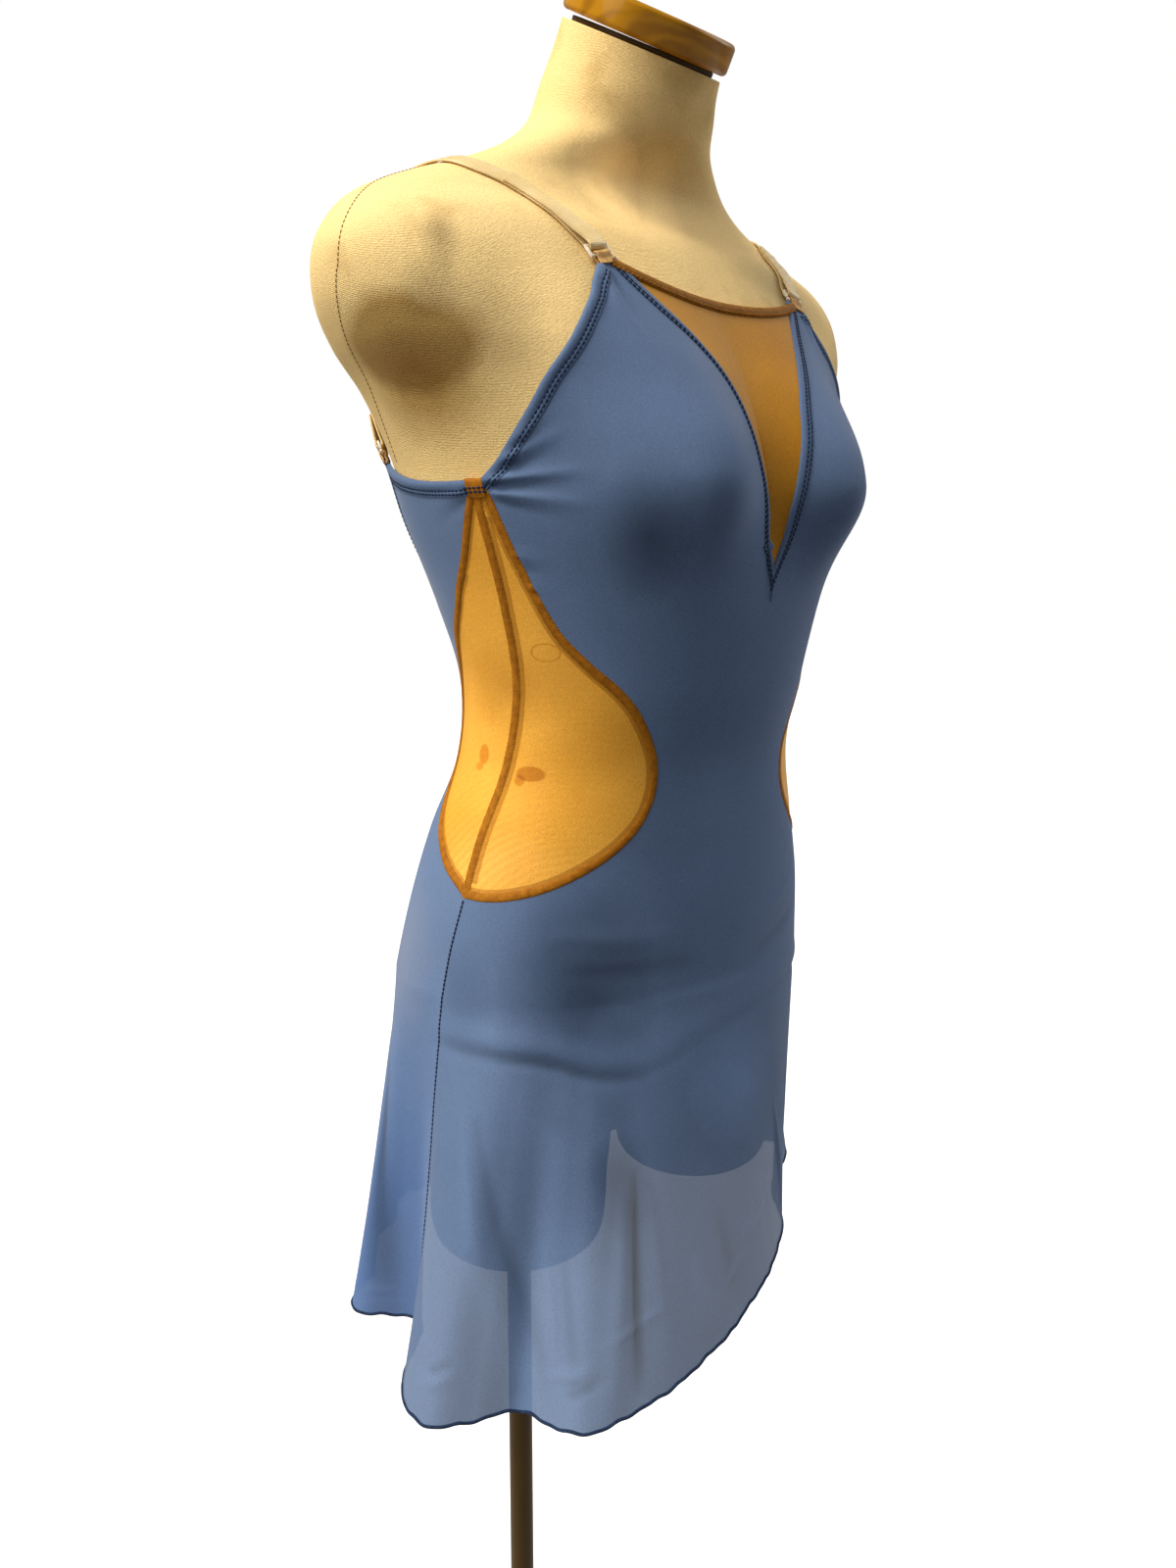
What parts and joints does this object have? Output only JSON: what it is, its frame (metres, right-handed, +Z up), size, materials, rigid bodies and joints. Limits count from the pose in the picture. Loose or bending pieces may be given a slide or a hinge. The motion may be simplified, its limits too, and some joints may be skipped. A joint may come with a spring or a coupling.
{
  "type": "lyrical dance dress on a dress form",
  "caption": "Short sheer dance dress over a leotard, with a deep mesh V, teardrop mesh sides and satin shoulder straps, worn by a limbless dress form on a pole stand.",
  "frame": {"origin": "Middle of the underside of the stand's base, on the floor.", "axes": "+Z up, the wearer's front towards -Y, the wearer's left towards +X."},
  "size_m": [0.4205, 0.36, 1.4848],
  "materials": {
    "blue_mesh": "sheer four-way stretch mesh with a soft sheen",
    "blue_lining": "matte opaque stretch knit",
    "nude_mesh": "fine sheer power mesh, golden nude",
    "brown_binding": "folded mesh binding and serging, brown",
    "satin_elastic": "satin-faced elastic with a fine cross rib",
    "nude_elastic": "nude loop elastic",
    "clear_plastic": "clear moulded plastic",
    "form_linen": "cream jersey stretched over a padded form",
    "amber_wood": "varnished amber-brown wood, glossy",
    "brown_pole": "dark brown lacquered tube",
    "dark_metal": "satin black-brown powder coat"
  },
  "bodies": {
    "root": {"front_panel": "blue_mesh", "back_panel": "blue_mesh", "neck_mesh": "nude_mesh", "neck_binding": "brown_binding", "brief_front": "blue_lining", "brief_back": "blue_lining", "brief_gusset": "blue_lining", "form": "form_linen", "neck_plate": "dark_metal", "neck_cap": "amber_wood", "pole_flange": "dark_metal", "pole": "brown_pole", "pole_socket": "dark_metal", "base": "dark_metal", "side_mesh_front_right": "nude_mesh", "side_mesh_back_right": "nude_mesh", "strap_right": "satin_elastic", "hook_front_right": "clear_plastic", "loop_front_right": "nude_elastic", "hook_back_right": "clear_plastic", "loop_back_right": "nude_elastic", "side_mesh_front_left": "nude_mesh", "side_mesh_back_left": "nude_mesh", "strap_left": "satin_elastic", "hook_front_left": "clear_plastic", "loop_front_left": "nude_elastic", "hook_back_left": "clear_plastic", "loop_back_left": "nude_elastic"}
  },
  "joints": []
}
